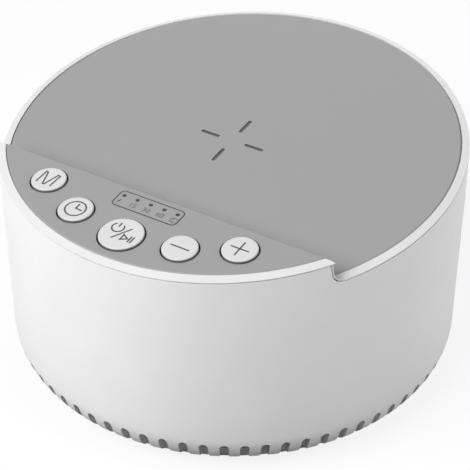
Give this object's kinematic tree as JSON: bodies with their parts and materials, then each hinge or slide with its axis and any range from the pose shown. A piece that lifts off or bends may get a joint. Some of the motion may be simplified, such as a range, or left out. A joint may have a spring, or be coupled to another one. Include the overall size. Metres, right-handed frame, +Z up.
{
  "type": "white noise machine",
  "caption": "Round bedside sound machine with a slanted top: phone-charging pad behind, raised deck of push buttons and timer lights in front, vent slots round its foot.",
  "frame": {"origin": "on the table under the middle of the drum", "axes": "+Z up, -Y towards the user and the buttons, +X the user's right"},
  "size_m": [0.12, 0.12, 0.0675],
  "materials": {
    "shell_white": "satin moulded plastic, very fine texture",
    "cover_grey": "matt soft-touch moulded plastic",
    "button_white": "satin moulded caps with printed dark symbols",
    "plate_grey": "thin matt label plate",
    "light_guide": "smoked clear plastic",
    "sound_cloth": "black acoustic cloth",
    "inner_black": "black moulded plastic",
    "board_green": "solder mask over glass laminate",
    "switch_black": "moulded switch and connector bodies",
    "led_white": "chip lights",
    "screw_steel": "zinc plated steel",
    "steel_plain": "nickel plated steel",
    "copper_wire": "enamelled copper winding",
    "ferrite": "sintered ferrite",
    "chip_black": "moulded chip packages",
    "capacitor_sleeve": "aluminium cans",
    "cone_paper": "pressed paper pulp",
    "surround_rubber": "rubber half roll",
    "spider_cloth": "resin treated cloth",
    "gasket_foam": "closed cell foam",
    "feet_rubber": "soft moulded rubber",
    "wire_sleeve": "flexible wire sleeve",
    "ribbon_film": "polyester film ribbon"
  },
  "bodies": {
    "body": {"base_plate": "shell_white", "board_capacitors": "capacitor_sleeve", "board_chips": "chip_black", "charging_coil": "copper_wire", "coil_leads": "wire_sleeve", "coil_tray": "inner_black", "control_board": "board_green", "control_connector": "switch_black", "control_ribbon": "ribbon_film", "control_screws": "screw_steel", "ferrite_sheet": "ferrite", "housing": "shell_white", "housing_screws": "screw_steel", "indicator_plate": "plate_grey", "lead_connectors": "ribbon_film", "light_pipes": "light_guide", "main_board": "board_green", "main_screws": "screw_steel", "power_inductor": "ferrite", "ribbon_connector": "switch_black", "rubber_feet": "feet_rubber", "speaker_baffle": "inner_black", "speaker_basket": "steel_plain", "speaker_gasket": "gasket_foam", "speaker_leads": "wire_sleeve", "speaker_magnet": "ferrite", "speaker_spider": "spider_cloth", "speaker_surround": "surround_rubber", "speaker_terminal": "inner_black", "speaker_top_plate": "steel_plain", "speaker_yoke": "steel_plain", "switch_bodies": "switch_black", "timer_leds": "led_white", "top_cover": "cover_grey", "top_frame": "shell_white", "usb_c_socket": "steel_plain", "vent_liner": "sound_cloth"},
    "mode_button": {"button_mode": "button_white", "switch_stem_mode": "switch_black"},
    "timer_button": {"button_timer": "button_white", "switch_stem_timer": "switch_black"},
    "power_button": {"button_power": "button_white", "switch_stem_power": "switch_black"},
    "minus_button": {"button_minus": "button_white", "switch_stem_minus": "switch_black"},
    "plus_button": {"button_plus": "button_white", "switch_stem_plus": "switch_black"},
    "cone": {"speaker_cone": "cone_paper", "voice_coil": "copper_wire"}
  },
  "joints": [
    {"name": "press_mode", "type": "slide", "parent": "body", "child": "mode_button", "axis": [0, 0.1184, -0.993], "range_m": [0, 0.0005], "stiffness_N_per_m": 2500},
    {"name": "press_timer", "type": "slide", "parent": "body", "child": "timer_button", "axis": [0, 0.1184, -0.993], "range_m": [0, 0.0005], "stiffness_N_per_m": 2500},
    {"name": "press_power", "type": "slide", "parent": "body", "child": "power_button", "axis": [0, 0.1184, -0.993], "range_m": [0, 0.0005], "stiffness_N_per_m": 2500},
    {"name": "press_minus", "type": "slide", "parent": "body", "child": "minus_button", "axis": [0, 0.1184, -0.993], "range_m": [0, 0.0005], "stiffness_N_per_m": 2500},
    {"name": "press_plus", "type": "slide", "parent": "body", "child": "plus_button", "axis": [0, 0.1184, -0.993], "range_m": [0, 0.0005], "stiffness_N_per_m": 2500},
    {"name": "cone_stroke", "type": "slide", "parent": "body", "child": "cone", "axis": [0, 0, -1], "range_m": [-0.001, 0.001], "stiffness_N_per_m": 900, "deforming": ["speaker_surround", "speaker_spider"]}
  ]
}
